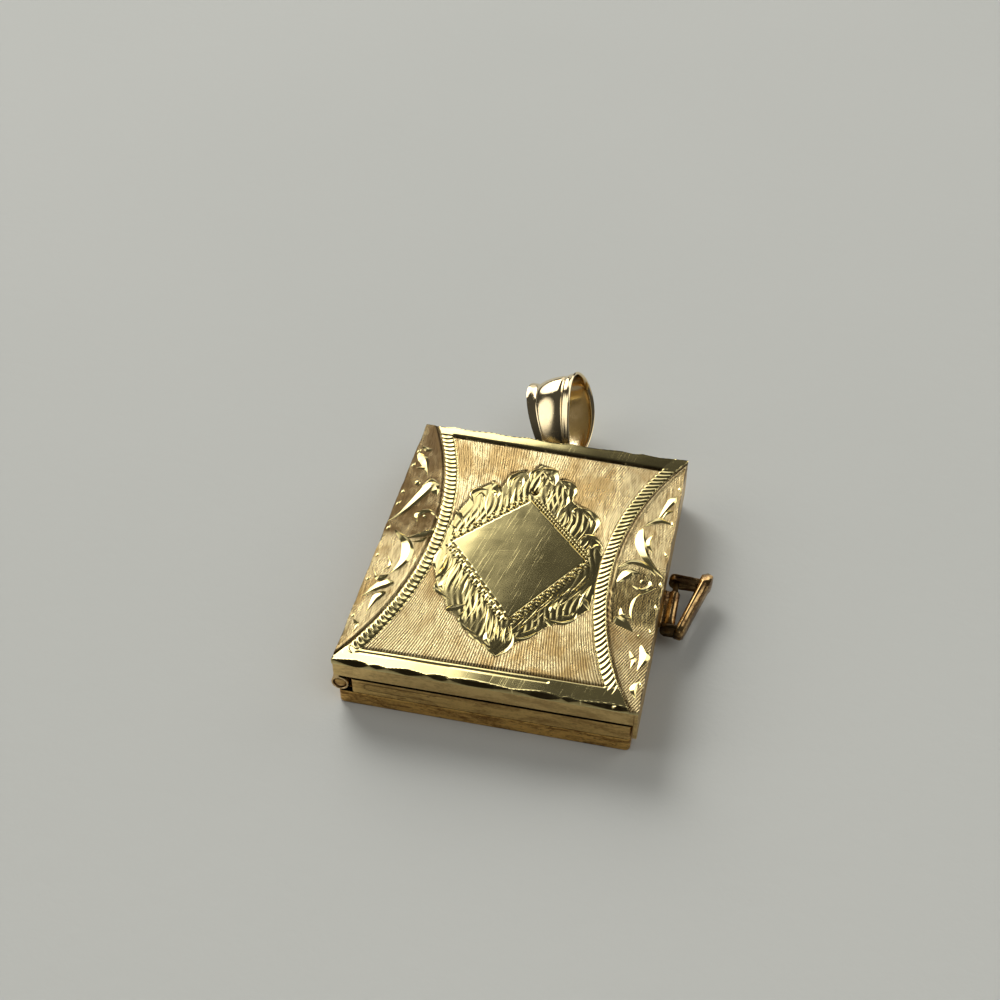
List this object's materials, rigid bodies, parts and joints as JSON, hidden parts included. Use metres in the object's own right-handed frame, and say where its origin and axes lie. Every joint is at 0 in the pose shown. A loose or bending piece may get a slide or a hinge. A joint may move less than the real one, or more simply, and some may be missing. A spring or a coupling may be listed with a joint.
{
  "type": "hinged picture locket",
  "caption": "Rectangular engraved gold locket with a hinged lid, a swinging picture leaf inside, a hinged pull loop at the catch side and a tapered strap bail.",
  "frame": {"origin": "centre of the flat underside of the base", "axes": "+X from the hinge towards the catch side, +Y towards the bail, +Z out of the engraved lid"},
  "size_m": [0.0252, 0.0354, 0.0066],
  "materials": {
    "engraved_gold": "hand engraved, satin field with polished bright cuts",
    "case_gold": "worn polish with light patina",
    "bezel_gold": "polished",
    "pin_gold": "drawn wire",
    "loop_gold": "polished, slightly rosy",
    "bail_gold": "high polish",
    "card": "blank matt card",
    "window": "clear sheet"
  },
  "bodies": {
    "base": {"base_plate": "case_gold", "base_walls": "case_gold", "base_knuckles": "case_gold", "hinge_pin": "pin_gold", "bail_staple": "case_gold", "base_card": "card", "base_lens": "window", "base_bezel": "bezel_gold"},
    "leaf": {"leaf_frame": "case_gold", "leaf_web": "case_gold", "leaf_knuckles": "case_gold", "leaf_front_card": "card", "leaf_front_lens": "window", "leaf_front_bezel": "bezel_gold", "leaf_back_card": "card", "leaf_back_lens": "window", "leaf_back_bezel": "bezel_gold"},
    "lid": {"lid_plate": "engraved_gold", "lid_walls": "case_gold", "catch_plate": "case_gold", "snap_bead": "pin_gold", "lid_knuckles": "case_gold", "lid_card": "card", "lid_lens": "window", "lid_bezel": "bezel_gold", "loop_barrel": "loop_gold", "loop_pin": "pin_gold"},
    "pull_loop": {"pull_loop": "loop_gold"},
    "bail": {"bail": "bail_gold"}
  },
  "joints": [
    {"name": "lid_hinge", "type": "hinge", "parent": "base", "child": "lid", "pos_m": [-0.01055, 0, 0.002], "axis": [0, -1, 0], "range_deg": [0, 120]},
    {"name": "leaf_hinge", "type": "hinge", "parent": "base", "child": "leaf", "pos_m": [-0.01055, 0, 0.002], "axis": [0, -1, 0], "range_deg": [0, 60]},
    {"name": "loop_hinge", "type": "hinge", "parent": "lid", "child": "pull_loop", "pos_m": [0.01177, 0, 0.0019], "axis": [0, -1, 0], "range_deg": [-85, 85]},
    {"name": "bail_swing", "type": "hinge", "parent": "base", "child": "bail", "pos_m": [0, 0.01505, 0.00185], "axis": [1, 0, 0], "range_deg": [-60, 40]}
  ],
  "couplings": [
    {"joint": "leaf_hinge", "follows": "lid_hinge", "ratio": 0.5}
  ]
}
